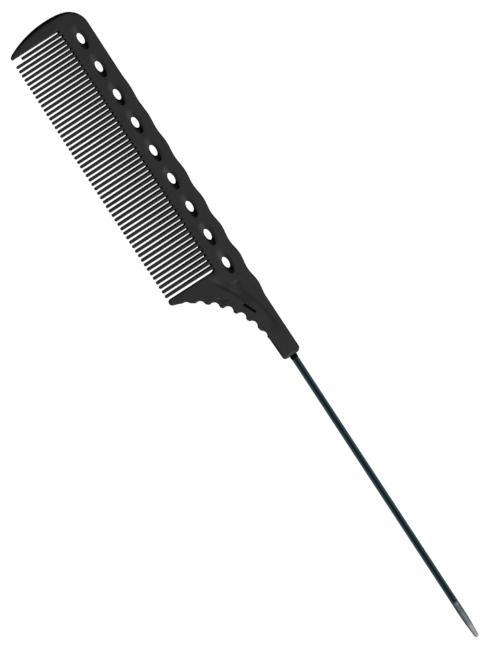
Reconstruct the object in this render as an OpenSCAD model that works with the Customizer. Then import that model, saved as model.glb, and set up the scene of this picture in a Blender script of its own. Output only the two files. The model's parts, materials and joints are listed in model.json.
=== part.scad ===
// Rat tail comb: a fine-toothed plastic comb with a steel parting pin for a tail.
// The comb lies flat. +X runs to the tip of the tail, +Y from the teeth to the spine, +Z is up.
// The origin is under the middle of the whole object, on the face that it rests on.
// Inside this file the outline is drawn about the datum, the centre of the first guide hole.

/* [Spine] */
// Thickness of the spine and of the tail socket
spine_thickness = 4.0; // [3.6:0.1:5]
// Height of the spine's edge above the row of guide holes, mid-comb
spine_edge = 4.44; // [4:0.02:5]
// Rise of the largest wave on the spine's edge
wave_rise = 0.55; // [0.2:0.05:0.8]

/* [Guide holes] */
// Number of guide holes
hole_count = 9; // [5:1:9]
// Distance from one guide hole to the next
hole_pitch = 10; // [9.5:0.1:10.5]
// Length of a guide hole along the spine
hole_length = 3.6; // [3:0.1:4]
// Width of a guide hole across the spine
hole_width = 1.76; // [1.2:0.02:2]

/* [Teeth] */
// Number of teeth
tooth_count = 54; // [50:1:54]
// Width of a gap at the teeth's roots
root_gap = 0.23; // [0.2:0.01:0.4]
// Width of a gap at the teeth's tips
tip_gap = 0.56; // [0.5:0.01:0.7]
// Thickness of a tooth at its tip
tip_thickness = 1.4; // [1:0.1:2]

/* [Finger rest] */
// Number of scallops in the finger rest
scallop_count = 7; // [5:1:7]
// Radius of the curve that the ridges between the scallops lie on
rest_radius = 30.9; // [30.5:0.1:31.5]

/* [Tail] */
// Diameter of the steel pin
pin_d = 2.15; // [1.8:0.05:2.2]
// Length of the pin from the socket's end to its tip
tail_length = 101.05; // [80:0.05:110]
// Length of the pin that is moulded into the socket
anchor_length = 21; // [21:1:24]
// Diameter of the collar where it meets the socket
collar_d = 2.4; // [2.3:0.05:2.8]
// Length of the collar
collar_length = 1.25; // [1:0.05:2]

/* [Hidden] */
$fn = 64;

plastic = [0.17, 0.17, 0.175];
steel = [0.66, 0.68, 0.70];
black = [0.04, 0.04, 0.045];

// Heights about the datum: the line of the roots and the line that the guards' ends reach
root_y = -4.5;
guard_end_y = -21.08;
// The tooth tips lie on a slight bow, lowest mid-comb
tip_bow = 0.2;
tip_end_y = -21.05;
lowest_y = tip_end_y - tip_bow;
// The first tooth is shorter than the rest
first_tip_y = -18.3;
// Length of the rounded end of a tooth
tooth_end = 0.45;

// Head guard: three arcs of growing radius run from the spine's edge round the nose to the guard's
// tip, each starting in the direction in which the last one ends
nose_start_x = -2.98;
nose_radii = [6.65, 12, 31.4];
nose_turns = [67.4, 16, 34];
// Left off the end of each arc, so that it doesn't meet the next one twice
nose_trims = [0.5, 0.5, 1.5];
// Radius of the guard's tip and the angle that its rounding turns through
guard_tip_radius = 0.55;
guard_tip_turn = 150;
guard_inner_x = [-5.34, -5.47];

// Heel guard
heel_inner_x = 80.12;
heel_corner = 0.9;
heel_outer_x = 82.3;

// Finger rest: ridge angles about the centre of the ridge curve, from the heel to the socket
rest_centre = [110.6, -32.3];
rest_start = 153.7;
rest_end = 98;
rest_step = 8;
scallop_radius = 1.6;
scallop_shallowest = 0.35;
scallop_extra = 0.9;

// Socket
socket_end_x = 114.25;
socket_corner_top = 1.5;
socket_corner_bottom = 0.9;
socket_bottom_y = -1.34;
socket_root = [106.2, -1.6];

// Pin: its axis meets the socket's end at pin_y and leans a little towards the spine
pin_y = 1.77;
pin_lean = 0.24;
pin_z = spine_thickness / 2;
anchor_step = 0.18;
anchor_r = pin_d / 2 - anchor_step;
point_length = 8.8;
point_d = 1.34;
groove_count = 5;
groove_pitch = 3.7;
groove_depth = 0.25;
groove_length = 1.2;
groove_margin = 3;

// Collar: how far it draws in over its first part, that part's share of its length, and how far it
// stands out from the pin at its end
collar_draw_in = 0.05;
collar_shoulder = 0.7;
collar_lip = 0.04;

// Guide hole lead-ins: how far they reach past the hole towards the tail, their width, how far their
// floor reaches over the hole, and the thickness of the web between the two of them
lead_in_tail = 2.0;
lead_in_width = 1.66;
lead_in_overlap = 0.5;
lead_in_web = 0.4;

// Mould slit in each face of the throat: its middle, length, width, depth and direction
slit_middle = [95.4, -1.5];
slit_length = 4.8;
slit_width = 0.55;
slit_depth = 0.8;
slit_angle = 24;

// The spine's edge: straight over the head, then bowed, with one wave over each guide hole
wave_start = 1.5 * hole_pitch;
wave_end = 9.5 * hole_pitch;
edge_bow = 0.00007;
edge_bow_middle = 45;
function wave_height(x) =
    wave_rise * min(1, 0.45 + 0.55 * (x - 2 * hole_pitch) / (6 * hole_pitch));
function wave(x) = x < wave_start || x > wave_end ? 0
    : wave_height(x) * (1 + cos(360 * x / hole_pitch)) / 2;
function edge_y(x) = spine_edge + edge_bow * pow(max(x, wave_start) - edge_bow_middle, 2) + wave(x);

// Where each arc of the nose starts, as an angle about its own centre, and that centre
function nose_from(i) = i == 0 ? 90 : nose_from(i - 1) + nose_turns[i - 1];
function nose_centre(i) = i == 0 ? [nose_start_x, edge_y(nose_start_x) - nose_radii[0]]
    : nose_centre(i - 1) - (nose_radii[i] - nose_radii[i - 1]) * [cos(nose_from(i)), sin(nose_from(i))];

// Moves the datum so that the origin is in the middle of the whole object
nose_x = nose_centre(2)[0] - nose_radii[2];
tip_x = socket_end_x + tail_length * cos(pin_lean);
highest_y = edge_y((hole_count - 1) * hole_pitch);
datum = [-(nose_x + tip_x) / 2, -(lowest_y + highest_y) / 2, 0];

function arc(centre, r, from, to, steps) =
    [for (i = [0:steps]) let (a = from + (to - from) * i / steps)
        [centre[0] + r * cos(a), centre[1] + r * sin(a)]];

// Middle of a gap: the pitch of the teeth grows a little from the head to the heel
first_gap_x = -5.155;
first_pitch = 1.5038;
pitch_growth = 0.0012648;
function gap_x(k) = first_gap_x + first_pitch * k + pitch_growth * k * k;
function gap_width(y) = root_gap + (tip_gap - root_gap) * (root_y - y) / (root_y - lowest_y);
function tip_y(k) = k == 0 ? first_tip_y
    : tip_end_y - tip_bow * sin(180 * (k + 0.5) / tooth_count);

// Scallops: equal circles at equal angles, deepest in the middle of the finger rest
function scallop_angle(i) = rest_start - rest_step * (i + 0.5);
function scallop_depth(i) = scallop_shallowest + scallop_extra * sin(180 * (i + 0.2) / scallop_count);

// Outline of everything but the teeth, before the scallops are cut out of it
function body_points() = concat(
    [[guard_inner_x[0], root_y]],
    arc([guard_inner_x[1] - guard_tip_radius, guard_end_y + guard_tip_radius],
        guard_tip_radius, 0, -guard_tip_turn, 8),
    [for (i = [2:-1:0]) each
        arc(nose_centre(i), nose_radii[i], nose_from(i) + nose_turns[i] - nose_trims[i],
            nose_from(i), 16)],
    [for (x = [-2:0.5:socket_end_x - socket_corner_top - 0.5]) [x, edge_y(x)]],
    arc([socket_end_x - socket_corner_top, edge_y(socket_end_x - socket_corner_top) - socket_corner_top],
        socket_corner_top, 90, 0, 10),
    arc([socket_end_x - socket_corner_bottom, socket_bottom_y + socket_corner_bottom],
        socket_corner_bottom, 0, -90, 8),
    [socket_root],
    arc(rest_centre, rest_radius, rest_end, rest_start, 30),
    arc([heel_outer_x - heel_corner, guard_end_y + heel_corner], heel_corner, -20, -90, 6),
    arc([heel_inner_x + heel_corner, guard_end_y + heel_corner], heel_corner, -90, -180, 6),
    [[heel_inner_x, root_y]]
);

module scallops() {
    translate(rest_centre)
        for (i = [0:scallop_count - 1])
            rotate(scallop_angle(i))
                translate([rest_radius + scallop_depth(i) - scallop_radius, 0])
                    circle(r = scallop_radius);
}

// Side view of the moulding: flat at the spine, a wedge from the roots to the tips
module taper() {
    wedge_start = root_y + 0.5;
    past_edge = 5 * spine_edge;
    inset = (spine_thickness - tip_thickness) / 2;
    rotate([90, 0, 90])
        linear_extrude(height = 2.5 * socket_end_x, center = true)
            polygon([
                [wedge_start, 0],
                [past_edge, 0],
                [past_edge, spine_thickness],
                [wedge_start, spine_thickness],
                [lowest_y - 1, spine_thickness - inset],
                [lowest_y - 1, inset]
            ]);
}

// A guide hole: an oval with a sloping lead-in on its tail side, on both faces, that leaves a thin
// web between them
module guide_hole() {
    half = spine_thickness / 2;
    tail_end = hole_length / 2 + lead_in_tail;
    floor_end = hole_length / 2 - lead_in_overlap;
    end_r = lead_in_width / 2;
    linear_extrude(height = spine_thickness + 2, center = true)
        scale([hole_length / hole_width, 1])
            circle(d = hole_width);
    for (face = [0, 1])
        mirror([0, 0, face])
            intersection() {
                linear_extrude(height = spine_thickness) {
                    translate([0, -end_r])
                        square([tail_end - end_r, lead_in_width]);
                    translate([tail_end - end_r, 0])
                        circle(r = end_r);
                }
                rotate([90, 0, 0])
                    linear_extrude(height = 2 * lead_in_width, center = true)
                        polygon([
                            [-1, lead_in_web / 2],
                            [-1, half + 1],
                            [tail_end, half + 1],
                            [tail_end, half],
                            [floor_end, lead_in_web / 2]
                        ]);
            }
}

module slit() {
    translate(slit_middle)
        rotate(slit_angle) {
            square([slit_length - slit_width, slit_width], center = true);
            for (end = [-1, 1])
                translate([end * (slit_length - slit_width) / 2, 0])
                    circle(d = slit_width);
        }
}

// Puts a shape that was turned about +Z onto the pin's axis, starting at the socket's end
module on_pin_axis() {
    translate([socket_end_x, pin_y, pin_z])
        rotate([0, 90, pin_lean])
            children();
}

// Half section of the pin: grooved anchor as far as the collar's end, full shank, ground point with
// a round end
module pin_profile() {
    r = pin_d / 2;
    end_r = point_d / 2;
    shank_end = tail_length - point_length;
    polygon(concat(
        [[0, -anchor_length], [anchor_r, -anchor_length]],
        [for (i = [0:groove_count - 1])
            let (start = -anchor_length + groove_margin + groove_pitch * i)
                each [
                    [anchor_r, start],
                    [anchor_r - groove_depth, start + groove_depth],
                    [anchor_r - groove_depth, start + groove_length - groove_depth],
                    [anchor_r, start + groove_length]
                ]],
        [[anchor_r, collar_length], [r, collar_length], [r, shank_end]],
        [for (i = [1:6]) let (t = i / 6)
            [r - (r - end_r) * pow(t, 1.8), shank_end + (point_length - end_r) * t]],
        arc([0, tail_length - end_r], end_r, 15, 90, 6)
    ));
}

module pin_solid() {
    on_pin_axis()
        rotate_extrude()
            pin_profile();
}

module comb_body() {
    color(plastic)
        translate(datum)
            difference() {
                intersection() {
                    linear_extrude(height = spine_thickness)
                        difference() {
                            polygon(body_points());
                            scallops();
                        }
                    taper();
                }
                for (i = [0:hole_count - 1])
                    translate([i * hole_pitch, 0, spine_thickness / 2])
                        guide_hole();
                for (z = [0, spine_thickness])
                    translate([0, 0, z - slit_depth])
                        linear_extrude(height = 2 * slit_depth)
                            slit();
                pin_solid();
            }
}

// Plan of one tooth: straight flanks and a rounded tip
module tooth_plan(k) {
    tip = tip_y(k);
    round_y = tip + tooth_end;
    left_root = gap_x(k) + gap_width(root_y) / 2;
    right_root = gap_x(k + 1) - gap_width(root_y) / 2;
    left_tip = gap_x(k) + gap_width(round_y) / 2;
    right_tip = gap_x(k + 1) - gap_width(round_y) / 2;
    half = (right_tip - left_tip) / 2;
    polygon(concat(
        [[left_root, root_y], [left_tip, round_y]],
        [for (a = [200:20:340]) [left_tip + half + half * cos(a), round_y + tooth_end * sin(a)]],
        [[right_tip, round_y], [right_root, root_y]]
    ));
}

module teeth() {
    color(plastic)
        translate(datum)
            intersection() {
                linear_extrude(height = spine_thickness)
                    for (k = [0:tooth_count - 1])
                        tooth_plan(k);
                taper();
            }
}

module tail_pin() {
    color(steel)
        translate(datum)
            pin_solid();
}

module pin_collar() {
    color(black)
        translate(datum)
            on_pin_axis()
                rotate_extrude()
                    polygon([
                        [anchor_r, 0],
                        [collar_d / 2, 0],
                        [collar_d / 2 - collar_draw_in, collar_length * collar_shoulder],
                        [pin_d / 2 + collar_lip, collar_length],
                        [anchor_r, collar_length]
                    ]);
}

comb_body();
teeth();
tail_pin();
pin_collar();
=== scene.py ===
import json
import math

import bpy
import numpy as np
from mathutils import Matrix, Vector
from mathutils.geometry import delaunay_2d_cdt


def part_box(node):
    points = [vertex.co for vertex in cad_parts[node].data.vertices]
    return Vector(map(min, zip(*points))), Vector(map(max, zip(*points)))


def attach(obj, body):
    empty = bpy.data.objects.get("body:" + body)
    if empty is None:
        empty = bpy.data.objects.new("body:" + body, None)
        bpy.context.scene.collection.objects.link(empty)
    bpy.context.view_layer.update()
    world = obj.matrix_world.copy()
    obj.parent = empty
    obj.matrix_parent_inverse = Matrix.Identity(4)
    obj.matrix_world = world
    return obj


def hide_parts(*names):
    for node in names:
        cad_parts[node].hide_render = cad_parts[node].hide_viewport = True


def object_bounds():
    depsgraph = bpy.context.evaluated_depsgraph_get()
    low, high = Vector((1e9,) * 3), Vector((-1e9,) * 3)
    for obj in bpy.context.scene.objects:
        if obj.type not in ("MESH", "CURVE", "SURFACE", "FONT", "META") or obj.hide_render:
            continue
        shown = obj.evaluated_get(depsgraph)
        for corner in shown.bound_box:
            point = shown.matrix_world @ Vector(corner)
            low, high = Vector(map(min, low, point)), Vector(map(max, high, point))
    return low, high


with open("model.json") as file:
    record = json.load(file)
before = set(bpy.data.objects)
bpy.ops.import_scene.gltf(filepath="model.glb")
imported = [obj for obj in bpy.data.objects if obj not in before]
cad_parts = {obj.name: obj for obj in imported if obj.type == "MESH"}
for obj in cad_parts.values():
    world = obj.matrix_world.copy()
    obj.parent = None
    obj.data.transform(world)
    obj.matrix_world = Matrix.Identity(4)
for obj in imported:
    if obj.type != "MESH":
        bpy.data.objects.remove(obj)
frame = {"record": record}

# The comb lies flat: +X runs to the tip of the tail, +Y from the teeth to the spine, +Z is up.
# Shapes are drawn in millimetres about the datum, the centre of the first guide hole, half way
# through the thickness. place() turns them into metres in the CAD frame.
MM = 0.001
cad_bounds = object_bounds()
body_low, body_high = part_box("comb_body")
teeth_low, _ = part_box("teeth")
pin_low, pin_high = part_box("tail_pin")
collar_low, collar_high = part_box("pin_collar")
mounts = {mount["name"]: mount for mount in frame["record"]["mounts"]}

# Guide holes: their pitch, and half their length and width
HOLE_COUNT = 9
HOLE_PITCH = 10
HOLE_HALF = (1.8, 0.88)
# Half the thickness of the web inside a hole, and the radius and wear of the rim on the face
WEB_HALF = 0.1
RIM_RADIUS = 0.16
RIM_WEAR = 0.8
# The mouth on the face: its reach towards the tail and the head, half its width, and the power of
# its squarish tail end, where an oval's is 2
MOUTH_REACH = (3.75, 1.98)
MOUTH_HALF_WIDTH = 1.0
MOUTH_POWER = 2.9
# The dish round a hole: its depth, its middle beside the hole's, its half axes, and the share of
# them that is flat
DISH_DEPTH = 0.42
DISH_MIDDLE = (-0.3, 0.15)
DISH_HALF = (4.3, 2.0)
DISH_FLAT = 0.3

# How far the nose and the teeth reach from the datum
NOSE_REACH = 10.17
TEETH_REACH = 21.25

# Spine and head. The wave starts at a share of its full rise and grows along the spine.
SPINE_EDGE = 4.44
EDGE_BOW = 0.00007
EDGE_BOW_MIDDLE = 45
WAVE_RISE = 0.55
WAVE_START = 1.5 * HOLE_PITCH
WAVE_END = 9.5 * HOLE_PITCH
WAVE_SHARE = 0.45
WAVE_GROWS_FROM = 2 * HOLE_PITCH
WAVE_GROWS_OVER = 6 * HOLE_PITCH
SPINE_START_X = -2.5
SPINE_MARGIN = 0.3
SPINE_STEP = 0.25
NOSE_START_X = -2.98
NOSE_RADII = (6.65, 12, 31.4)
NOSE_TURNS = (67.4, 16, 32.5)
GUARD_TIP_RADIUS = 0.55
GUARD_TIP_TURN = 150
GUARD_INNER_X = (-5.34, -5.47)
GUARD_END_Y = -21.08

# Teeth
TOOTH_COUNT = 54
ROOT_Y = -4.5
TIP_END_Y = -21.05
TIP_BOW = 0.2
FIRST_TIP_Y = -18.3
FIRST_GAP_X = -5.155
FIRST_PITCH = 1.5038
PITCH_GROWTH = 0.0012648
ROOT_GAP = 0.23
TIP_GAP = 0.56
TOOTH_END = 0.47
# The straight flanks: where they start, and how far above a tooth's tip they end
FLANK_START_Y = ROOT_Y - 0.45
FLANK_MARGIN = 0.6
FLANK_LEVELS = np.linspace(FLANK_START_Y, TIP_END_Y + FLANK_MARGIN, 10)
# The first gap's round top lies lower than the others'
FIRST_TOP_DROP = 0.5
# The last gap's top is a slanting oval on the heel's side and a small corner on the tooth's
LAST_OVAL_HALF = (0.42, 1.36)
LAST_OVAL_DROP = 1.5
LAST_CORNER = 0.14
LAST_CORNER_DROP = 0.22

# Section across the comb: the wedge of the teeth, with a soft start
TIP_HALF_THICKNESS = 0.7
WEDGE_START = ROOT_Y + 0.5
WEDGE_END = -22.25
WEDGE_SOFTNESS = 0.5

# Heel, finger rest and socket
HEEL_INNER_X = 80.12
HEEL_OUTER_X = 82.3
HEEL_CORNER = 0.9
HEEL_CORNER_START = -20
REST_CENTRE = (110.6, -32.3)
REST_RADIUS = 30.9
REST_START = 153.7
REST_END = 98
REST_STEP = 8
SCALLOP_COUNT = 7
SCALLOP_RADIUS = 1.6
SCALLOP_SHALLOWEST = 0.35
SCALLOP_EXTRA = 0.9
SCALLOP_SHIFT = 0.2
SOCKET_START_X = 104
SOCKET_END_X = 114.25
SOCKET_TOP_CORNER = 1.5
SOCKET_BOTTOM_CORNER = 0.9
SOCKET_BOTTOM_Y = -1.34
SOCKET_ROOT = (106.2, -1.6)

# The outer edge: where it starts and ends, how much its corners are softened, and how far apart
# its points are
EDGE_START = (GUARD_INNER_X[0] - 0.004, ROOT_Y - 1.2)
EDGE_END = (HEEL_INNER_X, ROOT_Y - 1.55)
CORNER_SOFTNESS = 0.2
EDGE_SPACING = 0.28

# Stretches of the outer edge: outside the head guard, beside the last tooth, and under the socket
NOSE_SIDE_X = GUARD_INNER_X[0] - 0.7
HEEL_SIDE_X = (79, HEEL_INNER_X + 0.2)
UNDER_TOP_Y = 3

# How far the outer edge's rounding reaches over the face. A pair is a range of x or y, from none to
# all of a change, and a set of four is a range with both its ends.
ROUND_PLAIN = 0.5
ROUND_NOSE_EXTRA = 0.7
ROUND_NOSE_Y = (-20.5, -10.5, -4.5, 3.2)
ROUND_TIP_LESS = 0.2
ROUND_TIP_Y = (-18, -21)
ROUND_GUARD_INNER = 0.3
ROUND_HEEL_INNER = 0.42
ROUND_REST = 0.32
ROUND_UNDER = 0.4
ROUND_UNDER_EXTRA = 0.2
ROUND_UNDER_X = (105, 108)
ROUND_END = 0.15
ROUND_END_EXTRA = 1.4
ROUND_END_X = (112.8, 113.5)
ROUND_END_Y = (0.5, 1.4, 2.2, 3.1)
# How far the rounding reaches down the wall, for its reach over the face
ROUND_DEPTH = 1.25
# How flat the edge is under the socket and from where, and over how many points such values are
# averaged
UNDER_FLATNESS = 0.15
UNDER_FLAT_X = 106
EDGE_BLUR = 13

# Edges of the teeth: a bevel at the roots turns into a small round at the tips
BEVEL = 0.46
BEVEL_DEPTH = 0.8
GAP_TOP_EXTRA = 0.3
GAP_TOP_EXTRA_DEPTH = 0.4
TIP_ROUND = 0.2
TIP_ROUND_DEPTH = 1.4 * TIP_ROUND
BEVEL_Y = (-18, -7)
# A bevel's steps from the wall to the face: the share of its reach, and the share of its depth left
BEVEL_STEPS = ((0, 1), (0.22, 0.72), (0.44, 0.45), (0.66, 0.19), (0.86, 0.03), (1, 0))
# The walls' draft on either side of the parting line, and the most of the half thickness that an
# edge takes away
DRAFT = 0.03
DEEPEST_EDGE = 0.8

# The throat's contours: recesses along arcs, and dents with a short wall at their head end
THROAT_RECESSES = (
    dict(depth=1.05, centre=(111, -51), radius=52.8, width=2.0, fade=1.2, x_range=(81, 86, 88, 95), side=-1),
    dict(depth=0.6, centre=(106.8, -44.5), radius=47.1, width=2.1, fade=2.0, x_range=(86.5, 91, 101, 107)),
    dict(depth=0.26, centre=(101, -17.2), radius=16.3, width=0.5, fade=0.9, x_range=(87.4, 88.4, 89.2, 90.2)),
)
THROAT_DENTS = (
    dict(depth=0.16, middle=(86.5, -0.6), width=0.8, length=1.1, fade=1.6),
    dict(depth=0.04, middle=(82.5, -4.9), width=1.0, length=1.3, fade=1.6),
)

# The mould slit in each face of the throat: its middle and direction, then the place along it and
# the radius of its tail end and of its head end
SLIT_MIDDLE = (95.4, -1.5)
SLIT_TURN = 24
SLIT_TAIL_END = (2.0, 0.26)
SLIT_HEAD_END = (-1.85, 0.44)
# Its steps from the floor to the face: the share of its width, how far outside it, and how deep
SLIT_STEPS = ((0.1, 0, 1.7), (0.2, 0, 1.6), (0.85, 0, 0.2), (1, 0, 0.04), (1, 0.07, 0))

# Spacings of the points that fill the faces, and how far they keep from an edge in spacings
WIDE_SPACING = 0.62
DISHES_SPACING = 0.42
THROAT_SPACING = 0.24
EDGE_CLEARANCE = 0.6
# The band of the dishes and the throat's box, where those points are closer
DISHES_LOW = (-5.4, ROOT_Y + 0.3)
DISHES_TOP_Y = 2.6
DISHES_END_X = HEEL_INNER_X + 0.3
THROAT_LOW = (82, -8)
THROAT_HIGH = (107, 3.4)

# Where the datum is in the CAD frame, and the spine's half thickness
DATUM = np.array([
    body_low.x / MM + NOSE_REACH,
    teeth_low.y / MM + TEETH_REACH,
    (body_low.z + body_high.z) / 2 / MM,
])
HALF = (body_high.z - body_low.z) / 2 / MM


def place(points):
    """Millimetres about the datum, as metres in the CAD frame."""
    return (np.asarray(points, float) + DATUM) * MM


def smooth_step(low, high, value):
    """0 up to one value and 1 from another, with a smooth rise between them."""
    t = np.clip((value - low) / (high - low), 0, 1)
    return t * t * (3 - 2 * t)


def window(value, start, full, still_full, end):
    """1 in the middle of a range, blended down to 0 at both ends of it."""
    return smooth_step(start, full, value) * (1 - smooth_step(still_full, end, value))


def arc(centre, radius, start, end, count):
    """Points on an arc, from one angle to another in degrees."""
    angles = np.radians(np.linspace(start, end, count))
    return np.column_stack((centre[0] + radius * np.cos(angles), centre[1] + radius * np.sin(angles)))


def make_mesh(name, points, faces, materials):
    """A smooth-shaded object from points in metres and faces of vertex numbers."""
    mesh = bpy.data.meshes.new(name)
    mesh.from_pydata([tuple(p) for p in points], [], [list(f) for f in faces])
    mesh.validate()
    for material in materials:
        mesh.materials.append(material)
    mesh.polygons.foreach_set("use_smooth", [True] * len(mesh.polygons))
    piece = bpy.data.objects.new(name, mesh)
    bpy.context.scene.collection.objects.link(piece)
    return piece


# ---------------------------------------------------------------- camera

def add_camera():
    """Looks straight down on the comb, turned so that the tail runs to the lower right."""
    turn = math.radians(57.03)
    distance = 3.0
    frame_height = 0.1949
    look_at = place((99.73, -4.17, 0))
    data = bpy.data.cameras.new("camera")
    data.sensor_fit = "VERTICAL"
    data.sensor_height = 24
    data.lens = data.sensor_height * distance / frame_height
    data.clip_end = 20
    camera = bpy.data.objects.new("camera", data)
    camera.location = Vector(look_at) + Vector((0, 0, distance))
    camera.rotation_euler = (0, 0, turn)
    bpy.context.scene.collection.objects.link(camera)
    bpy.context.scene.camera = camera


add_camera()


# ---------------------------------------------------------------- outline

def edge_y(x):
    """Height of the spine's edge: straight over the head, then bowed, with a wave over each hole."""
    base = SPINE_EDGE + EDGE_BOW * (np.maximum(x, WAVE_START) - EDGE_BOW_MIDDLE) ** 2
    share = WAVE_SHARE + (1 - WAVE_SHARE) * (x - WAVE_GROWS_FROM) / WAVE_GROWS_OVER
    wave = WAVE_RISE * np.minimum(1, share) * (1 + np.cos(2 * np.pi * x / HOLE_PITCH)) / 2
    return base + np.where((x > WAVE_START) & (x < WAVE_END), wave, 0)


def nose_arcs():
    """The three arcs of the nose as (centre, radius, start, end), from the spine's edge on."""
    angle = 90
    centre = np.array([NOSE_START_X, edge_y(NOSE_START_X) - NOSE_RADII[0]])
    arcs = []
    for i, (radius, turn) in enumerate(zip(NOSE_RADII, NOSE_TURNS)):
        if i:
            along = np.array([math.cos(math.radians(angle)), math.sin(math.radians(angle))])
            centre = centre - (radius - NOSE_RADII[i - 1]) * along
        arcs.append((centre, radius, angle, angle + turn))
        angle += turn
    return arcs


def finger_rest():
    """The finger rest's edge from the socket to the heel: a concave arc with a bite for each scallop."""
    angles = np.linspace(REST_END, REST_START, 1200)
    reach = np.full_like(angles, REST_RADIUS)
    for i in range(SCALLOP_COUNT):
        along_rest = math.pi * (i + SCALLOP_SHIFT) / SCALLOP_COUNT
        depth = SCALLOP_SHALLOWEST + SCALLOP_EXTRA * math.sin(along_rest)
        middle = REST_START - REST_STEP * (i + 0.5)
        centre = REST_RADIUS + depth - SCALLOP_RADIUS
        across = centre * np.sin(np.radians(angles - middle))
        bitten = np.abs(across) < SCALLOP_RADIUS
        along = centre * np.cos(np.radians(angles - middle))
        far = along + np.sqrt(np.where(bitten, SCALLOP_RADIUS ** 2 - across ** 2, 0))
        reach = np.where(bitten, np.maximum(reach, far), reach)
    x = REST_CENTRE[0] + reach * np.cos(np.radians(angles))
    y = REST_CENTRE[1] + reach * np.sin(np.radians(angles))
    return np.column_stack((x, y))


def even_spacing(path, step):
    """The same open path with its points a given step apart."""
    lengths = np.concatenate(([0], np.cumsum(np.linalg.norm(np.diff(path, axis=0), axis=1))))
    wanted = np.linspace(0, lengths[-1], max(2, int(round(lengths[-1] / step)) + 1))
    return np.column_stack([np.interp(wanted, lengths, path[:, k]) for k in range(2)])


def soften(path, radius, step=0.02):
    """An open path with its corners rounded off, by a running average. Its ends stay where they are."""
    fine = even_spacing(path, step)
    reach = int(3 * radius / step)
    weights = np.exp(-0.5 * (np.arange(-reach, reach + 1) * step / radius) ** 2)
    weights /= weights.sum()
    start = 2 * fine[0] - fine[reach:0:-1]
    end = 2 * fine[-1] - fine[-2:-reach - 2:-1]
    padded = np.vstack((start, fine, end))
    return np.column_stack([np.convolve(padded[:, k], weights, "valid") for k in range(2)])


def outer_edge():
    """The moulding's edge without its teeth: round the nose, along the spine, back under the heel."""
    tip = GUARD_TIP_RADIUS
    nose = [arc(centre, radius, end, start, 60) for centre, radius, start, end in reversed(nose_arcs())]
    top_corner_x = SOCKET_END_X - SOCKET_TOP_CORNER
    spine_x = np.arange(SPINE_START_X, top_corner_x - SPINE_MARGIN, SPINE_STEP)
    heel_y = GUARD_END_Y + HEEL_CORNER
    path = np.vstack([
        [EDGE_START],
        arc((GUARD_INNER_X[1] - tip, GUARD_END_Y + tip), tip, 0, -GUARD_TIP_TURN, 16),
        *nose,
        np.column_stack((spine_x, edge_y(spine_x))),
        arc((top_corner_x, edge_y(top_corner_x) - SOCKET_TOP_CORNER), SOCKET_TOP_CORNER, 90, 0, 16),
        arc((SOCKET_END_X - SOCKET_BOTTOM_CORNER, SOCKET_BOTTOM_Y + SOCKET_BOTTOM_CORNER),
            SOCKET_BOTTOM_CORNER, 0, -90, 12),
        [SOCKET_ROOT],
        finger_rest(),
        arc((HEEL_OUTER_X - HEEL_CORNER, heel_y), HEEL_CORNER, HEEL_CORNER_START, -90, 12),
        arc((HEEL_INNER_X + HEEL_CORNER, heel_y), HEEL_CORNER, -90, -180, 12),
        [EDGE_END],
    ])
    return even_spacing(soften(path, CORNER_SOFTNESS), EDGE_SPACING)


def gap_x(k):
    """The middle of gap k, at the head side of tooth k."""
    return FIRST_GAP_X + FIRST_PITCH * k + PITCH_GROWTH * k * k


def gap_half(y):
    """Half the width of a gap at a height."""
    return (ROOT_GAP + (TIP_GAP - ROOT_GAP) * (ROOT_Y - y) / (TEETH_REACH + ROOT_Y)) / 2


def tooth_tip_y(k):
    """Where tooth k ends: on a slight bow, except for the short first tooth."""
    return FIRST_TIP_Y if k == 0 else TIP_END_Y - TIP_BOW * math.sin(math.pi * (k + 0.5) / TOOTH_COUNT)


def gap_top(k):
    """The rounded top of gap k, from its tail side to its head side."""
    half = gap_half(ROOT_Y)
    if k == TOOTH_COUNT:
        turns = np.radians(np.linspace(5, 70, 9))
        oval_x = HEEL_INNER_X - LAST_OVAL_HALF[0] * (1 - np.cos(turns))
        oval_y = ROOT_Y - LAST_OVAL_DROP + LAST_OVAL_HALF[1] * np.sin(turns)
        corner_middle = (gap_x(k) - half + LAST_CORNER, ROOT_Y - LAST_CORNER_DROP)
        return np.vstack((np.column_stack((oval_x, oval_y)), arc(corner_middle, LAST_CORNER, 78, 172, 5)))
    if k == 0:
        left = GUARD_INNER_X[0]
        right = gap_x(k) + half
        radius = (right - left) / 2
        return arc(((left + right) / 2, ROOT_Y - FIRST_TOP_DROP - radius), radius, 12, 168, 9)
    return arc((gap_x(k), ROOT_Y - half), half, 8, 172, 9)


def tooth_edge(k):
    """Tooth k's edge below its root: down its tail flank, round its tip and up its head flank."""
    tip = tooth_tip_y(k)
    levels = FLANK_LEVELS[FLANK_LEVELS > tip + FLANK_MARGIN]
    head_levels = levels[::-1] if k else levels[:0:-1]
    tail = np.array([(gap_x(k + 1) - gap_half(y), y) for y in levels])
    head = np.array([(gap_x(k) + gap_half(y), y) for y in head_levels])
    round_y = tip + TOOTH_END
    right = gap_x(k + 1) - gap_half(round_y)
    left = gap_x(k) + gap_half(round_y)
    half = (right - left) / 2
    angles = np.radians(np.linspace(0, -180, 13))
    end = np.column_stack((left + half + half * np.cos(angles), round_y + TOOTH_END * np.sin(angles)))
    return np.vstack((tail, end, head))


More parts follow.
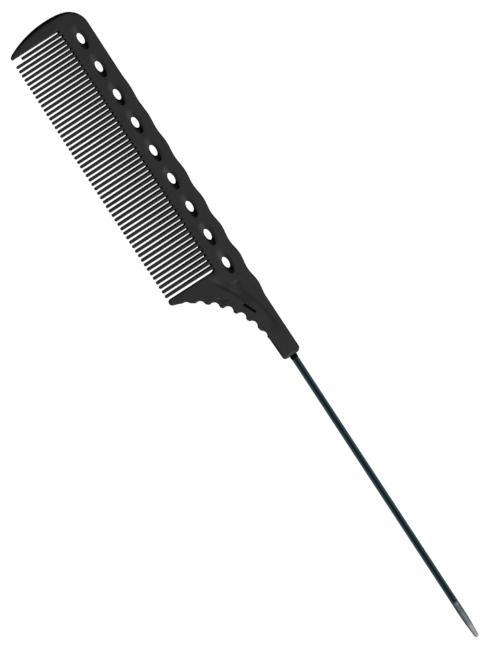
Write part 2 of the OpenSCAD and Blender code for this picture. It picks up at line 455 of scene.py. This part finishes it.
def comb_edge():
    """The whole closed edge, clockwise, with how far each point's rounding reaches over the face, how
    far it reaches down the wall, and how flat it is: 0 for a round and 1 for a bevel."""
    outer = outer_edge()
    reach = outer_rounding(outer)
    parts = [(outer, reach, ROUND_DEPTH * reach, outer_flatness(outer))]
    for k in range(TOOTH_COUNT, -1, -1):
        top = gap_top(k)
        rise = np.sin(np.linspace(0, np.pi, len(top)))
        top_reach = BEVEL + GAP_TOP_EXTRA * rise
        top_depth = BEVEL_DEPTH + GAP_TOP_EXTRA_DEPTH * rise
        parts.append((top, top_reach, top_depth, np.ones(len(top))))
        if k:
            tooth = tooth_edge(k - 1)
            near_root = smooth_step(*BEVEL_Y, tooth[:, 1])
            reach = TIP_ROUND + (BEVEL - TIP_ROUND) * near_root
            depth = TIP_ROUND_DEPTH + (BEVEL_DEPTH - TIP_ROUND_DEPTH) * near_root
            parts.append((tooth, reach, depth, near_root))
    return [np.concatenate(column) for column in zip(*parts)]


def on_heel_inner(x, y):
    """True on the heel's edge beside the last tooth."""
    return (x > HEEL_SIDE_X[0]) & (x < HEEL_SIDE_X[1]) & (y < 0)


def blurred(values):
    """Values along the edge, each averaged with its neighbours."""
    return np.convolve(np.pad(values, EDGE_BLUR // 2, "edge"), np.ones(EDGE_BLUR) / EDGE_BLUR, "valid")


def outer_rounding(points):
    """How far the edge's rounding reaches over the face: broad round the nose, fine along the finger
    rest, and sharp at the socket's end except over the pin."""
    x, y = points.T
    nose = x < NOSE_SIDE_X
    guard_inner = (x < 0) & ~nose & (y < ROOT_Y)
    heel_inner = on_heel_inner(x, y)
    rest = (x > HEEL_INNER_X) & (x < SOCKET_ROOT[0]) & (y < 0) & ~heel_inner
    under = ~rest & (x > SOCKET_START_X) & (y < UNDER_TOP_Y)
    reach = np.full(len(points), ROUND_PLAIN)
    reach[nose] += ROUND_NOSE_EXTRA * window(y[nose], *ROUND_NOSE_Y)
    reach[nose] -= ROUND_TIP_LESS * smooth_step(*ROUND_TIP_Y, y[nose])
    reach[guard_inner] = ROUND_GUARD_INNER
    reach[heel_inner] = ROUND_HEEL_INNER
    reach[rest] = ROUND_REST
    reach[under] = ROUND_UNDER + ROUND_UNDER_EXTRA * smooth_step(*ROUND_UNDER_X, x[under])
    at_end = smooth_step(*ROUND_END_X, x)
    reach += at_end * (ROUND_END + ROUND_END_EXTRA * window(y, *ROUND_END_Y) - reach)
    return blurred(reach)


def outer_flatness(points):
    """Where the edge is bevelled rather than rounded: round the nose, up the heel and, slightly, under
    the socket."""
    x, y = points.T
    flatness = np.zeros(len(points))
    flatness[(x < NOSE_SIDE_X) | on_heel_inner(x, y)] = 1
    flatness[(x > UNDER_FLAT_X) & (y < 0)] = UNDER_FLATNESS
    return blurred(flatness)


# ---------------------------------------------------------------- the moulding's faces

def wedge(y):
    """Half thickness at a height: flat at the spine, then a wedge to the tooth tips."""
    fall = (HALF - TIP_HALF_THICKNESS) / (WEDGE_START - WEDGE_END)
    below = WEDGE_SOFTNESS * np.logaddexp(0, (WEDGE_START - WEDGE_SOFTNESS - y) / WEDGE_SOFTNESS)
    return HALF - fall * below


def swept_recess(x, y, depth, centre, radius, width, fade, x_range, side=1):
    """Depth of a recess below an arc, or above it for a side of -1: a wall as wide as stated along the
    arc, then a slow rise back to the face. It grows and dies away over its range of x."""
    below = side * (radius - np.hypot(x - centre[0], y - centre[1]))
    wall = smooth_step(-width / 2, width / 2, below) * np.exp(-np.maximum(below, 0) / fade)
    return depth * wall * window(x, *x_range)


def head_end_dent(x, y, depth, middle, width, length, fade):
    """Depth of a shallow dent with a short wall at its head end and a slow rise towards the tail."""
    wall = smooth_step(middle[0] - width / 2, middle[0] + width / 2, x)
    rise = np.exp(-np.maximum(x - middle[0], 0) / fade)
    return depth * wall * rise * np.exp(-(((y - middle[1]) / length) ** 2))


def face_height(x, y):
    """Height of either face above the middle: the wedge, less the dishes and the throat's contours."""
    hole_x = np.clip(np.round(x / HOLE_PITCH), 0, HOLE_COUNT - 1) * HOLE_PITCH
    spread = np.hypot((x - hole_x - DISH_MIDDLE[0]) / DISH_HALF[0], (y - DISH_MIDDLE[1]) / DISH_HALF[1])
    height = wedge(y) - DISH_DEPTH * (1 - smooth_step(DISH_FLAT, 1, spread))
    for recess in THROAT_RECESSES:
        height = height - swept_recess(x, y, **recess)
    for dent in THROAT_DENTS:
        height = height - head_end_dent(x, y, **dent)
    return height


def outward(points):
    """Unit normals of an anticlockwise loop that point out of it."""
    ahead = np.roll(points, -1, axis=0) - np.roll(points, 1, axis=0)
    normal = np.column_stack((ahead[:, 1], -ahead[:, 0]))
    return normal / np.linalg.norm(normal, axis=1)[:, None]


def inward(points):
    """Unit normals of a clockwise loop that point into it, with both sides of a corner counted alike."""
    ahead = np.roll(points, -1, axis=0) - points
    behind = points - np.roll(points, 1, axis=0)
    ahead /= np.linalg.norm(ahead, axis=1)[:, None]
    behind /= np.linalg.norm(behind, axis=1)[:, None]
    along = ahead + behind
    along /= np.linalg.norm(along, axis=1)[:, None]
    return np.column_stack((along[:, 1], -along[:, 0]))


# Each ring below is its points, their heights above the middle, and one value for its edge wear and painted
# shade: above 0 where an edge is rubbed, -1 where shade is painted into the slit.

def edge_rings(points, reach, depth, flatness):
    """The rings of the moulding's edge, from the parting line up and over onto the face. The wear is
    greatest half way over."""
    normal = inward(points)
    rings = [(points, np.zeros(len(points)), 0.0)]
    for number, (bevel_in, bevel_down) in enumerate(BEVEL_STEPS):
        turn = number / (len(BEVEL_STEPS) - 1) * math.pi / 2
        step_in = (1 - math.cos(turn)) * (1 - flatness) + bevel_in * flatness
        step_down = (1 - math.sin(turn)) * (1 - flatness) + bevel_down * flatness
        ring = points + normal * (DRAFT + reach * step_in)[:, None]
        face = face_height(*ring.T)
        height = face - np.minimum(depth, DEEPEST_EDGE * face) * step_down
        rings.append((ring, height, math.sin(2 * turn)))
    return rings


def hole_rings(index):
    """The rings of one guide hole's half, from the web in the middle out to the face."""
    centre = np.array([index * HOLE_PITCH, 0.0])
    turns = np.linspace(0, 2 * np.pi, 72, endpoint=False)
    cosines, sines = np.cos(turns), np.sin(turns)
    hole = np.column_stack((HOLE_HALF[0] * cosines, HOLE_HALF[1] * sines))
    tail_side = cosines > 0
    reach = np.where(tail_side, *MOUTH_REACH)
    power = np.where(tail_side, 2 / MOUTH_POWER, 1)
    mouth_x = reach * np.sign(cosines) * np.abs(cosines) ** power
    mouth_y = MOUTH_HALF_WIDTH * np.sign(sines) * np.abs(sines) ** power
    mouth = np.column_stack((mouth_x, mouth_y))
    normal = outward(mouth)
    face = face_height(*(mouth + centre).T)
    rings = [(hole, np.zeros(len(turns)), 0.0), (hole, np.full(len(turns), WEB_HALF), 0.0)]
    for share in (0.06, 0.25, 0.5, 0.75, 1.0):
        height = WEB_HALF + (face - RIM_RADIUS - WEB_HALF) * share
        rings.append((hole + (mouth - hole) * share, height, 0.0))
    for angle in (30, 60, 90):
        out = RIM_RADIUS * (1 - math.cos(math.radians(angle)))
        down = RIM_RADIUS * (1 - math.sin(math.radians(angle)))
        rings.append((mouth + normal * out, face - down, RIM_WEAR if angle == 60 else 0.0))
    return [(ring + centre, height, wear) for ring, height, wear in rings]


def slit_rings():
    """The rings of the mould slit in the throat, from its floor out to the face. Rings below the face carry
    -1, which paints shade into the slit's colour."""
    turn = math.radians(SLIT_TURN)
    along = np.array([math.cos(turn), math.sin(turn)])
    across = np.array([-math.sin(turn), math.cos(turn)])
    tail_x, tail_radius = SLIT_TAIL_END
    head_x, head_radius = SLIT_HEAD_END
    slit = np.vstack((arc((tail_x, 0), tail_radius, -90, 90, 9), arc((head_x, 0), head_radius, 90, 270, 9)))
    normal = outward(slit)
    rings = []
    for width_share, out, depth in SLIT_STEPS:
        flat = slit * (1, width_share) + normal * out
        ring = np.array(SLIT_MIDDLE) + flat[:, :1] * along + flat[:, 1:] * across
        # Rings below the face get -1: painted shade in the slit.
        rings.append((ring, face_height(*ring.T) - depth, -1.0 if depth else 0.0))
    return rings


def inside(points, loops):
    """True for points within the first loop and outside the others."""
    odd = np.zeros(len(points), bool)
    for loop in loops:
        after = np.roll(loop, -1, axis=0)
        for (x0, y0), (x1, y1) in zip(loop, after):
            if y0 == y1:
                continue
            level = (y0 > points[:, 1]) != (y1 > points[:, 1])
            cross = (x1 - x0) * (points[:, 1] - y0) / (y1 - y0) + x0
            odd ^= level & (points[:, 0] < cross)
    return odd


def staggered_grid(low, high, spacing):
    """Points on a triangular grid over a rectangle."""
    rows = np.arange(low[1], high[1], spacing * 0.87)
    columns = np.arange(low[0], high[0], spacing)
    return np.array([(x + spacing / 2 * (i % 2), y) for i, y in enumerate(rows) for x in columns])


def loose_points(loops):
    """Points inside the face, clear of its loops: close together over the throat, where the recesses
    are, closer over the spine's dishes, and wide apart elsewhere."""
    edge = np.vstack(loops)
    low, high = edge.min(0), edge.max(0)
    wide = staggered_grid(low, high, WIDE_SPACING)
    dishes = staggered_grid(DISHES_LOW, (high[0], DISHES_TOP_Y), DISHES_SPACING)
    throat = staggered_grid(THROAT_LOW, THROAT_HIGH, THROAT_SPACING)
    x, y = wide.T
    off_dishes = (y > DISHES_TOP_Y) | (x < DISHES_LOW[0]) | (x > DISHES_END_X)
    in_throat = np.all((wide >= THROAT_LOW) & (wide <= THROAT_HIGH), axis=1)
    wide = wide[off_dishes & ~in_throat]
    dishes = dishes[(dishes[:, 0] < THROAT_LOW[0]) | (dishes[:, 0] > THROAT_HIGH[0])]
    kept = []
    for grid, spacing in ((wide, WIDE_SPACING), (dishes, DISHES_SPACING), (throat, THROAT_SPACING)):
        distances = np.array([np.min(np.hypot(*(edge - point).T)) for point in grid])
        kept.append(grid[distances > EDGE_CLEARANCE * spacing])
    grid = np.vstack(kept)
    return grid[inside(grid, loops)]


def fill(loops, loose):
    """Triangles between closed loops of points, through loose points, as numbers into all of them."""
    points = np.vstack([*loops, loose])
    edges = []
    start = 0
    for loop in loops:
        count = len(loop)
        edges += [(start + i, start + (i + 1) % count) for i in range(count)]
        start += count
    result = delaunay_2d_cdt([Vector(p) for p in points], edges, [], 0, 1e-5, True)
    corners, triangles, sources = result[0], result[2], result[3]
    middles = np.array([[sum(corners[v][k] for v in t) / 3 for k in range(2)] for t in triangles])
    kept = inside(middles, loops)
    return [[sources[v][0] for v in t] for t, keep in zip(triangles, kept) if keep]


class Shell:
    """Collects the points and faces of both halves of the moulding, the upper on side 1 and the lower
    on side -1. Each half has its own points except those that lie in the middle."""

    def __init__(self):
        self.points = []
        self.wear = []
        self.faces = []

    def ring(self, flat, height, wear, side):
        """Adds a ring's points to one half, and returns their numbers."""
        start = len(self.points)
        self.points += [(x, y, side * z) for (x, y), z in zip(flat, height)]
        self.wear += [wear] * len(flat)
        return list(range(start, len(self.points)))

    def face(self, corners, side):
        """Adds a face whose corners run anticlockwise in the upper half, so that it faces out."""
        self.faces.append(corners if side > 0 else corners[::-1])

    def stack(self, first, rings, side):
        """Adds rings, each joined to the one before by a strip of quads, and returns the last one's
        numbers."""
        count = len(first)
        for ring in rings:
            second = self.ring(*ring, side)
            for i in range(count):
                j = (i + 1) % count
                self.face((second[i], second[j], first[j], first[i]), side)
            first = second
        return first


def build_moulding(materials):
    """The plastic comb in one piece: its edge, its guide holes and its slits are strips of quads
    between rings, and the two faces fill what is left."""
    shell = Shell()
    edge = edge_rings(*comb_edge())
    holes = [hole_rings(i) for i in range(HOLE_COUNT)]
    slit = slit_rings()
    edge_middle = shell.ring(*edge[0], 1)
    hole_middles = [shell.ring(*hole[0], 1) for hole in holes]
    loops = [rings[-1][0] for rings in (edge, *holes, slit)]
    loose = loose_points(loops)
    triangles = fill(loops, loose)
    for side in (1, -1):
        border = shell.stack(edge_middle, edge[1:], side)
        for hole, middle in zip(holes, hole_middles):
            border = border + shell.stack(middle, hole[1:], side)
        slit_floor = shell.ring(*slit[0], side)
        shell.face(tuple(slit_floor), side)
        border = border + shell.stack(slit_floor, slit[1:], side)
        border = border + shell.ring(loose, face_height(*loose.T), 0.0, side)
        for triangle in triangles:
            shell.face(tuple(border[v] for v in triangle), side)
    piece = make_mesh("comb_moulding", place(shell.points), shell.faces, materials)
    wear = piece.data.attributes.new("wear", "FLOAT", "POINT")
    wear.data.foreach_set("value", np.array(shell.wear, np.float32))
    piece.data.set_sharp_from_angle(angle=math.radians(48))
    return piece


# ---------------------------------------------------------------- pin and collar

PIN_AXIS = np.array(mounts["tail_shank"]["axis"], float)
PIN_POINT = np.array(mounts["tail_shank"]["pos_m"], float) / MM
PIN_RADIUS = mounts["tail_shank"]["dims"]["r_mm"]
SOCKET_END = body_high.x / MM
PIN_START = PIN_POINT + PIN_AXIS * (SOCKET_END - PIN_POINT[0]) / PIN_AXIS[0]
TAIL_LENGTH = (pin_high.x / MM - SOCKET_END) / PIN_AXIS[0]
# The shank's fine chamfer in the collar's end, as its length and depth, and where evenly spaced
# rings start after it
SHANK_CHAMFER = (0.03, 0.02)
SHANK_LEAD = 1
POINT_LENGTH = 8.8
POINT_END_RADIUS = 0.67
POINT_POWER = 1.8

# The anchor in the socket, a little thinner than the shank: ring grooves at an even pitch, the first
# one a margin from its end
ANCHOR_LENGTH = (SOCKET_END - pin_low.x / MM) / PIN_AXIS[0]
ANCHOR_STEP = 0.18
ANCHOR_RADIUS = PIN_RADIUS - ANCHOR_STEP
ANCHOR_CHAMFER = 0.15
GROOVE_COUNT = 5
GROOVE_MARGIN = 3
GROOVE_PITCH = 3.7
GROOVE_LENGTH = 1.2
GROOVE_DEPTH = 0.25

# The collar: its gap to the socket's end, where its full radius starts and how much of its edge is
# taken off, how far its curve ends above the pin, its fit on the pin, its bore over the anchor, and
# the power of its curve
COLLAR_LENGTH = (collar_high.x - collar_low.x) / MM
COLLAR_RADIUS = (collar_high.z - collar_low.z) / 2 / MM
COLLAR_GAP = 0.02
COLLAR_SHOULDER = 0.06
COLLAR_EDGE = 0.03
COLLAR_LIP = 0.03
COLLAR_FIT = 0.005
COLLAR_BORE = ANCHOR_RADIUS + 0.002
COLLAR_POWER = 1.6


def lathe(name, profile, materials, segments=96):
    """A solid of revolution about the pin's axis. The profile is (distance from the socket's end,
    radius) in millimetres, from one end to the other, and a radius of 0 closes an end."""
    across = np.array([-PIN_AXIS[1], PIN_AXIS[0], 0.0])
    up = np.cross(PIN_AXIS, across)
    points = []
    rings = []
    for along, radius in profile:
        centre = PIN_START + PIN_AXIS * along
        start = len(points)
        count = 1 if radius == 0 else segments
        for i in range(count):
            turn = 2 * math.pi * i / segments
            points.append(centre + radius * (across * math.cos(turn) + up * math.sin(turn)))
        rings.append(list(range(start, start + count)))
    faces = []
    for first, second in zip(rings, rings[1:]):
        for i in range(segments):
            j = (i + 1) % segments
            corners = [first[i % len(first)], first[j % len(first)],
                       second[j % len(second)], second[i % len(second)]]
            faces.append([v for n, v in enumerate(corners) if v not in corners[:n]])
    piece = make_mesh(name, np.array(points) * MM, faces, materials)
    piece.data.set_sharp_from_angle(angle=math.radians(35))
    return piece


def anchor_profile():
    """The pin's hidden end, from its chamfered face past its ring grooves."""
    profile = [(-ANCHOR_LENGTH, 0), (-ANCHOR_LENGTH, ANCHOR_RADIUS - ANCHOR_CHAMFER),
               (ANCHOR_CHAMFER - ANCHOR_LENGTH, ANCHOR_RADIUS)]
    groove_radius = ANCHOR_RADIUS - GROOVE_DEPTH
    for i in range(GROOVE_COUNT):
        start = GROOVE_MARGIN - ANCHOR_LENGTH + GROOVE_PITCH * i
        end = start + GROOVE_LENGTH
        profile += [(start, ANCHOR_RADIUS), (start + GROOVE_DEPTH, groove_radius),
                    (end - GROOVE_DEPTH, groove_radius), (end, ANCHOR_RADIUS)]
    return profile


def point_profile(shank_end):
    """The pin's ground point: a long curve that steepens, then a round end."""
    cone_end = TAIL_LENGTH - POINT_END_RADIUS
    profile = []
    for t in np.linspace(0, 1, 15)[1:]:
        radius = PIN_RADIUS - (PIN_RADIUS - POINT_END_RADIUS) * t ** POINT_POWER
        profile.append((shank_end + (cone_end - shank_end) * t, radius))
    for angle in np.linspace(10, 80, 8):
        turn = math.radians(angle)
        profile.append((cone_end + POINT_END_RADIUS * math.sin(turn), POINT_END_RADIUS * math.cos(turn)))
    return profile + [(TAIL_LENGTH, 0)]


def build_pin(materials):
    """Grooved anchor in the socket, plain shank and ground point."""
    shank_end = TAIL_LENGTH - POINT_LENGTH
    shank = [(COLLAR_LENGTH, ANCHOR_RADIUS), (COLLAR_LENGTH, PIN_RADIUS - SHANK_CHAMFER[1]),
             (COLLAR_LENGTH + SHANK_CHAMFER[0], PIN_RADIUS)]
    shank += [(along, PIN_RADIUS) for along in np.linspace(COLLAR_LENGTH + SHANK_LEAD, shank_end, 40)]
    return lathe("steel_pin", anchor_profile() + shank + point_profile(shank_end), materials)


def build_collar(materials):
    """A short sleeve that swells at the socket and closes down onto the pin."""
    profile = [(COLLAR_GAP, COLLAR_BORE), (COLLAR_GAP, COLLAR_RADIUS - COLLAR_EDGE),
               (COLLAR_SHOULDER, COLLAR_RADIUS)]
    for t in np.linspace(0, 1, 9)[1:]:
        fall = (COLLAR_RADIUS - PIN_RADIUS - COLLAR_LIP) * t ** COLLAR_POWER
        profile.append((COLLAR_SHOULDER + (COLLAR_LENGTH - 2 * COLLAR_SHOULDER) * t, COLLAR_RADIUS - fall))
    profile += [(COLLAR_LENGTH, PIN_RADIUS + COLLAR_FIT), (COLLAR_LENGTH, COLLAR_BORE),
                (COLLAR_GAP, COLLAR_BORE)]
    return lathe("pin_collar_sleeve", profile, materials)


# ---------------------------------------------------------------- materials

def new_material(name):
    """A material with its Principled shader, its node adder and its link maker."""
    material = bpy.data.materials.new(name)
    material.use_nodes = True
    nodes = material.node_tree.nodes
    links = material.node_tree.links
    shader = nodes["Principled BSDF"]

    def add(kind, **settings):
        node = nodes.new(kind)
        for key, value in settings.items():
            if key in node.inputs:
                node.inputs[key].default_value = value
            else:
                setattr(node, key, value)
        return node

    return material, shader, add, links.new


def noise(add, link, place_from, scale, detail=3.0, stretch=(1, 1, 1), roughness=0.5):
    """Noise on the object's own coordinates, stretched along its axes."""
    mapping = add("ShaderNodeMapping", Scale=stretch)
    link(place_from, mapping.inputs["Vector"])
    texture = add("ShaderNodeTexNoise", Scale=scale, Detail=detail, Roughness=roughness)
    link(mapping.outputs["Vector"], texture.inputs["Vector"])
    return texture.outputs["Fac"]


def ramp(add, link, factor, low, high, start, end):
    """A value that runs from start to end as the factor runs from low to high."""
    node = add("ShaderNodeMapRange")
    node.inputs["From Min"].default_value = low
    node.inputs["From Max"].default_value = high
    node.inputs["To Min"].default_value = start
    node.inputs["To Max"].default_value = end
    link(factor, node.inputs["Value"])
    return node.outputs["Result"]


def scaled_sum(add, link, value, scale, added):
    """A value times a number, plus another value."""
    node = add("ShaderNodeMath", operation="MULTIPLY_ADD")
    link(value, node.inputs[0])
    node.inputs[1].default_value = scale
    link(added, node.inputs[2])
    return node.outputs[0]


def plastic_material():
    """Black moulded plastic: a fine spark-eroded grain and faint flow marks. Its wear and shade value is 1 on
    edges that are rubbed smooth, and -1 in the mould slits, where it paints shade by darkening the colour to
    near black."""
    material, shader, add, link = new_material("moulded_plastic")
    at = add("ShaderNodeTexCoord").outputs["Object"]
    wear = add("ShaderNodeAttribute", attribute_name="wear").outputs["Fac"]
    grain = noise(add, link, at, 7000, 4, roughness=0.6)
    blotch = noise(add, link, at, 260, 4)
    flow = noise(add, link, at, 420, 3, stretch=(0.25, 1, 1))
    tone = add("ShaderNodeMix", data_type="RGBA")
    tone.inputs["A"].default_value = (0.0178, 0.0174, 0.0168, 1)
    tone.inputs["B"].default_value = (0.0258, 0.0253, 0.0245, 1)
    mottle = scaled_sum(add, link, blotch, 0.75, ramp(add, link, grain, 0.3, 0.7, -0.12, 0.25))
    link(mottle, tone.inputs["Factor"])
    # Painted shade: where the value is -1, in the slit, the colour is darkened to near black.
    slit_painted_shade = add("ShaderNodeMix", data_type="RGBA")
    link(ramp(add, link, wear, -1, 0, 1, 0), slit_painted_shade.inputs["Factor"])
    link(tone.outputs["Result"], slit_painted_shade.inputs["A"])
    slit_painted_shade.inputs["B"].default_value = (0.003, 0.003, 0.003, 1)
    link(slit_painted_shade.outputs["Result"], shader.inputs["Base Color"])
    rubbed = ramp(add, link, wear, 0, 1, 0, 1)
    rough = scaled_sum(add, link, rubbed, -0.1, ramp(add, link, flow, 0.3, 0.7, 0.5, 0.62))
    link(rough, shader.inputs["Roughness"])
    bump = add("ShaderNodeBump", Strength=0.22, Distance=0.00004)
    link(grain, bump.inputs["Height"])
    wide = add("ShaderNodeBump", Strength=0.25, Distance=0.0001)
    link(flow, wide.inputs["Height"])
    link(wide.outputs["Normal"], bump.inputs["Normal"])
    link(bump.outputs["Normal"], shader.inputs["Normal"])
    shader.inputs["IOR"].default_value = 1.33
    return material


def steel_material():
    """Polished steel with fine draw lines along the shank, and a satin point ground round its axis, whose
    tone steps lighter towards the end in painted highlight.
    """
    material, shader, add, link = new_material("pin_steel")
    at = add("ShaderNodeTexCoord").outputs["Object"]
    along = add("ShaderNodeSeparateXYZ")
    link(at, along.inputs["Vector"])

    def stage(start, end):
        """0 up to one distance back from the tip, in metres, and 1 from another on."""
        return ramp(add, link, along.outputs["X"], pin_high.x - start, pin_high.x - end, 0.0, 1.0)

    ground = stage(0.0126, 0.0112)
    # Painted sheen: the first lighter step of the point's tone.
    fine = stage(0.0089, 0.0085)
    tip_painted_highlight = stage(0.0050, 0.0038)
    draw = noise(add, link, at, 9000, 3, stretch=(0.02, 1, 1))
    rings = noise(add, link, at, 9000, 2, stretch=(1, 0.05, 0.05))
    stain = noise(add, link, at, 300, 3, stretch=(0.4, 1, 1))
    tone = add("ShaderNodeMix", data_type="RGBA")
    tone.inputs["A"].default_value = (0.34, 0.43, 0.47, 1)
    tone.inputs["B"].default_value = (0.50, 0.58, 0.61, 1)
    link(stain, tone.inputs["Factor"])
    # The point's tone: darker where it is ground, then two lighter steps towards the end, which are painted
    # highlight standing for the key light that the steepening point reflects.
    for share, colour in (
        (ground, (0.115, 0.135, 0.14, 1)),
        (fine, (0.165, 0.19, 0.20, 1)),
        (tip_painted_highlight, (0.34, 0.34, 0.335, 1)),
    ):
        layer = add("ShaderNodeMix", data_type="RGBA")
        link(share, layer.inputs["Factor"])
        link(tone.outputs["Result"], layer.inputs["A"])
        layer.inputs["B"].default_value = colour
        tone = layer
    link(tone.outputs["Result"], shader.inputs["Base Color"])
    link(ramp(add, link, ground, 0, 1, 1.0, 0.3), shader.inputs["Metallic"])
    rough = scaled_sum(add, link, ground, 0.45, ramp(add, link, draw, 0.3, 0.7, 0.10, 0.17))
    link(rough, shader.inputs["Roughness"])
    lines = add("ShaderNodeMix", data_type="FLOAT")
    link(ground, lines.inputs["Factor"])
    link(draw, lines.inputs["A"])
    link(rings, lines.inputs["B"])
    bump = add("ShaderNodeBump", Strength=0.12, Distance=0.00002)
    link(lines.outputs["Result"], bump.inputs["Height"])
    link(bump.outputs["Normal"], shader.inputs["Normal"])
    return material


def collar_material():
    """Black sealing sleeve with faint turned lines. Its tone, far darker than the plastic's, is partly
    painted shade for its curved, shaded sides.
    """
    material, shader, add, link = new_material("collar_black")
    at = add("ShaderNodeTexCoord").outputs["Object"]
    lines = noise(add, link, at, 6000, 2, stretch=(1, 0.1, 0.1))
    speck = noise(add, link, at, 3000, 3)
    # Near-black tone: the sleeve's own black, darkened further as painted shade.
    tone = add("ShaderNodeMix", data_type="RGBA")
    tone.inputs["A"].default_value = (0.001, 0.001, 0.0012, 1)
    tone.inputs["B"].default_value = (0.003, 0.003, 0.0034, 1)
    link(speck, tone.inputs["Factor"])
    link(tone.outputs["Result"], shader.inputs["Base Color"])
    link(ramp(add, link, lines, 0.3, 0.7, 0.62, 0.78), shader.inputs["Roughness"])
    bump = add("ShaderNodeBump", Strength=0.2, Distance=0.00002)
    link(lines, bump.inputs["Height"])
    link(bump.outputs["Normal"], shader.inputs["Normal"])
    shader.inputs["IOR"].default_value = 1.1
    return material


# ---------------------------------------------------------------- stage and light

def add_floor():
    """A plain pale floor that glows evenly, like a light table, so it shows white between the teeth.
    It lights the pin more than the moulding, and the change is spread over a short stretch."""
    size = 3.0
    shown_strength = 1.05
    under_comb, under_pin = 0.04, 0.17
    spread = 0.01
    low = cad_bounds[0]
    corners = [(-size, -size, low[2]), (size, -size, low[2]), (size, size, low[2]), (-size, size, low[2])]
    material = bpy.data.materials.new("floor")
    material.use_nodes = True
    nodes = material.node_tree.nodes
    links = material.node_tree.links
    nodes.clear()
    seen = nodes.new("ShaderNodeEmission")
    seen.inputs["Strength"].default_value = shown_strength
    lit = nodes.new("ShaderNodeEmission")
    lit.inputs["Color"].default_value = (0.80, 0.86, 0.88, 1)
    at = nodes.new("ShaderNodeTexCoord")
    along = nodes.new("ShaderNodeSeparateXYZ")
    glow = nodes.new("ShaderNodeMapRange")
    glow.inputs["From Min"].default_value = body_high.x - spread
    glow.inputs["From Max"].default_value = body_high.x + spread
    glow.inputs["To Min"].default_value = under_comb
    glow.inputs["To Max"].default_value = under_pin
    links.new(at.outputs["Object"], along.inputs[0])
    links.new(along.outputs["X"], glow.inputs["Value"])
    links.new(glow.outputs["Result"], lit.inputs["Strength"])
    path = nodes.new("ShaderNodeLightPath")
    choose = nodes.new("ShaderNodeMixShader")
    output = nodes.new("ShaderNodeOutputMaterial")
    links.new(path.outputs["Is Camera Ray"], choose.inputs[0])
    links.new(lit.outputs[0], choose.inputs[1])
    links.new(seen.outputs[0], choose.inputs[2])
    links.new(choose.outputs[0], output.inputs["Surface"])
    floor = make_mesh("floor", corners, [(0, 1, 2, 3)], [material])


def add_world():
    """A dim room, darkest overhead and paler towards the horizon."""
    world = bpy.data.worlds.new("room")
    bpy.context.scene.world = world
    world.use_nodes = True
    nodes = world.node_tree.nodes
    links = world.node_tree.links
    background = nodes["Background"]
    at = nodes.new("ShaderNodeTexCoord")
    split = nodes.new("ShaderNodeSeparateXYZ")
    colours = nodes.new("ShaderNodeValToRGB")
    stops = colours.color_ramp.elements
    stops[0].position = 0.0
    stops[0].color = (0.115, 0.135, 0.14, 1)
    stops[1].position = 1.0
    stops[1].color = (0.003, 0.022, 0.038, 1)
    middle = stops.new(0.7)
    middle.color = (0.030, 0.053, 0.066, 1)
    links.new(at.outputs["Generated"], split.inputs[0])
    links.new(split.outputs["Z"], colours.inputs["Fac"])
    links.new(colours.outputs["Color"], background.inputs["Color"])
    background.inputs["Strength"].default_value = 1.0


def add_light(name, azimuth, elevation, distance, size, power):
    """A soft square light that faces the middle of the comb."""
    turn, rise = math.radians(azimuth), math.radians(elevation)
    out = Vector((math.cos(turn) * math.cos(rise), math.sin(turn) * math.cos(rise), math.sin(rise)))
    middle = Vector((0, 0, body_high.z))
    data = bpy.data.lights.new(name, "AREA")
    data.shape = "SQUARE"
    data.size = size
    data.energy = power
    light = bpy.data.objects.new(name, data)
    light.location = middle + out * distance
    light.rotation_euler = out.to_track_quat("Z", "Y").to_euler()
    bpy.context.scene.collection.objects.link(light)


add_floor()
add_world()
add_light("key", azimuth=22, elevation=47, distance=3.0, size=1.1, power=104)
bpy.context.scene.view_settings.view_transform = "Standard"


# ---------------------------------------------------------------- pieces

moulding = build_moulding([plastic_material()])
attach(moulding, "root")
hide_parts("comb_body", "teeth")

pin = build_pin([steel_material()])
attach(pin, "root")
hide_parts("tail_pin")

sleeve = build_collar([collar_material()])
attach(sleeve, "root")
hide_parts("pin_collar")
